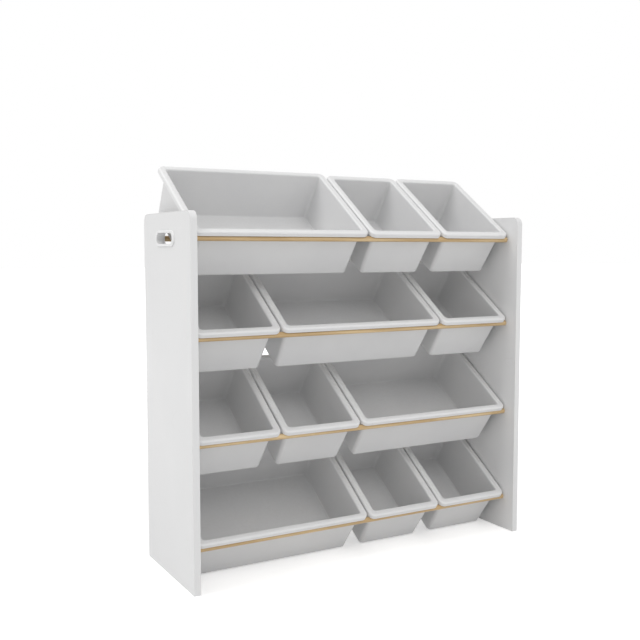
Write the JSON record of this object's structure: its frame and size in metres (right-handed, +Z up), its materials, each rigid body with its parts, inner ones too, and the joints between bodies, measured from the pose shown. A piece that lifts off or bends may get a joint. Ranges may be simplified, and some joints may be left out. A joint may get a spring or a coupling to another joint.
{
  "type": "toy storage organizer",
  "caption": "Open floor rack for toys: two board side panels joined by wooden rods carry rows of tilted, lift-out plastic bins in two widths.",
  "frame": {"origin": "on the floor, in the middle of the whole object's width and depth", "axes": "+X to the rack's right as seen from the front, the open front faces -Y, +Z up"},
  "size_m": [0.867, 0.2976, 0.8848],
  "materials": {
    "panel_board": "white laminate-faced board",
    "rod_wood": "clear-coated light wood",
    "hand_hold_plastic": "white moulded plastic",
    "screw_steel": "zinc-plated",
    "cap_plastic": "white moulded plastic",
    "bin_plastic": "white moulded plastic, satin"
  },
  "bodies": {
    "rack": {"side_panel_left": "panel_board", "hand_hold_left": "hand_hold_plastic", "rod_screws_left": "screw_steel", "screw_caps_left": "cap_plastic", "side_panel_right": "panel_board", "hand_hold_right": "hand_hold_plastic", "rod_screws_right": "screw_steel", "screw_caps_right": "cap_plastic", "front_rod_row_1": "rod_wood", "rear_rod_row_1": "rod_wood", "front_rod_row_2": "rod_wood", "rear_rod_row_2": "rod_wood", "front_rod_row_3": "rod_wood", "rear_rod_row_3": "rod_wood", "front_rod_row_4": "rod_wood", "rear_rod_row_4": "rod_wood"},
    "large_bin_row_1": {"large_bin_row_1": "bin_plastic"},
    "small_bin_row_1_middle": {"small_bin_row_1_middle": "bin_plastic"},
    "small_bin_row_1_right": {"small_bin_row_1_right": "bin_plastic"},
    "small_bin_row_2_left": {"small_bin_row_2_left": "bin_plastic"},
    "large_bin_row_2": {"large_bin_row_2": "bin_plastic"},
    "small_bin_row_2_right": {"small_bin_row_2_right": "bin_plastic"},
    "small_bin_row_3_left": {"small_bin_row_3_left": "bin_plastic"},
    "small_bin_row_3_middle": {"small_bin_row_3_middle": "bin_plastic"},
    "large_bin_row_3": {"large_bin_row_3": "bin_plastic"},
    "large_bin_row_4": {"large_bin_row_4": "bin_plastic"},
    "small_bin_row_4_middle": {"small_bin_row_4_middle": "bin_plastic"},
    "small_bin_row_4_right": {"small_bin_row_4_right": "bin_plastic"}
  },
  "joints": [
    {"name": "large_bin_row_1_lift", "type": "slide", "parent": "rack", "child": "large_bin_row_1", "axis": [0, -0.5664, 0.8241], "range_m": [0, 0.15]},
    {"name": "small_bin_row_1_middle_lift", "type": "slide", "parent": "rack", "child": "small_bin_row_1_middle", "axis": [0, -0.5664, 0.8241], "range_m": [0, 0.15]},
    {"name": "small_bin_row_1_right_lift", "type": "slide", "parent": "rack", "child": "small_bin_row_1_right", "axis": [0, -0.5664, 0.8241], "range_m": [0, 0.15]},
    {"name": "small_bin_row_2_left_tip_up", "type": "hinge", "parent": "rack", "child": "small_bin_row_2_left", "pos_m": [-0.3125, 0.0849, 0.5201], "axis": [-1, 0, 0], "range_deg": [0, 28]},
    {"name": "large_bin_row_2_tip_up", "type": "hinge", "parent": "rack", "child": "large_bin_row_2", "pos_m": [0, 0.0849, 0.5201], "axis": [-1, 0, 0], "range_deg": [0, 28]},
    {"name": "small_bin_row_2_right_tip_up", "type": "hinge", "parent": "rack", "child": "small_bin_row_2_right", "pos_m": [0.3125, 0.0849, 0.5201], "axis": [-1, 0, 0], "range_deg": [0, 28]},
    {"name": "small_bin_row_3_left_tip_up", "type": "hinge", "parent": "rack", "child": "small_bin_row_3_left", "pos_m": [-0.3125, 0.0849, 0.2988], "axis": [-1, 0, 0], "range_deg": [0, 33]},
    {"name": "small_bin_row_3_middle_tip_up", "type": "hinge", "parent": "rack", "child": "small_bin_row_3_middle", "pos_m": [-0.111, 0.0849, 0.2988], "axis": [-1, 0, 0], "range_deg": [0, 33]},
    {"name": "large_bin_row_3_tip_up", "type": "hinge", "parent": "rack", "child": "large_bin_row_3", "pos_m": [0.2015, 0.0849, 0.2988], "axis": [-1, 0, 0], "range_deg": [0, 33]},
    {"name": "large_bin_row_4_tip_up", "type": "hinge", "parent": "rack", "child": "large_bin_row_4", "pos_m": [-0.2015, 0.0849, 0.0811], "axis": [-1, 0, 0], "range_deg": [0, 33]},
    {"name": "small_bin_row_4_middle_tip_up", "type": "hinge", "parent": "rack", "child": "small_bin_row_4_middle", "pos_m": [0.111, 0.0849, 0.0811], "axis": [-1, 0, 0], "range_deg": [0, 33]},
    {"name": "small_bin_row_4_right_tip_up", "type": "hinge", "parent": "rack", "child": "small_bin_row_4_right", "pos_m": [0.3125, 0.0849, 0.0811], "axis": [-1, 0, 0], "range_deg": [0, 33]}
  ]
}
